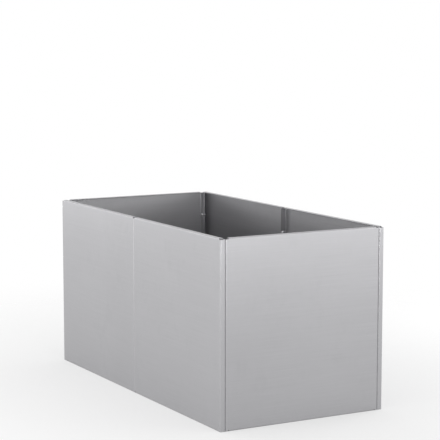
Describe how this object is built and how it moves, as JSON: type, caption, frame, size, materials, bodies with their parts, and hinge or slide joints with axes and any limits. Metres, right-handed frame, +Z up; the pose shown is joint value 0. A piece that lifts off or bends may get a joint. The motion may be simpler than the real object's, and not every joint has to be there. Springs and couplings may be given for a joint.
{
  "type": "metal planter",
  "caption": "Free-standing rectangular floor planter of folded steel panels, bolted through inside flanges, with inward rim lips, a drained tray base and a cross brace.",
  "frame": {"origin": "on the floor, below the centre of the planter", "axes": "+X along the planter's length, +Y from its front long wall to its rear one, +Z up"},
  "size_m": [0.8, 0.4, 0.4],
  "materials": {
    "panel_steel": "satin silver-grey sheet, faintly drawn, softly reflective",
    "tray_steel": "satin sheet, duller than the walls",
    "brace_steel": "satin sheet, duller than the walls",
    "fastener_steel": "bright turned and pressed steel"
  },
  "bodies": {
    "root": {"front_left_panel": "panel_steel", "front_right_panel": "panel_steel", "rear_left_panel": "panel_steel", "rear_right_panel": "panel_steel", "left_end_panel": "panel_steel", "right_end_panel": "panel_steel", "left_base_tray": "tray_steel", "right_base_tray": "tray_steel", "cross_brace": "brace_steel", "front_seam_screws": "fastener_steel", "front_seam_washers": "fastener_steel", "front_seam_nuts": "fastener_steel", "rear_seam_screws": "fastener_steel", "rear_seam_washers": "fastener_steel", "rear_seam_nuts": "fastener_steel", "front_left_corner_screws": "fastener_steel", "front_left_corner_washers": "fastener_steel", "front_left_corner_nuts": "fastener_steel", "front_right_corner_screws": "fastener_steel", "front_right_corner_washers": "fastener_steel", "front_right_corner_nuts": "fastener_steel", "rear_left_corner_screws": "fastener_steel", "rear_left_corner_washers": "fastener_steel", "rear_left_corner_nuts": "fastener_steel", "rear_right_corner_screws": "fastener_steel", "rear_right_corner_washers": "fastener_steel", "rear_right_corner_nuts": "fastener_steel", "base_seam_screws": "fastener_steel", "base_seam_washers": "fastener_steel", "base_seam_nuts": "fastener_steel"}
  },
  "joints": []
}
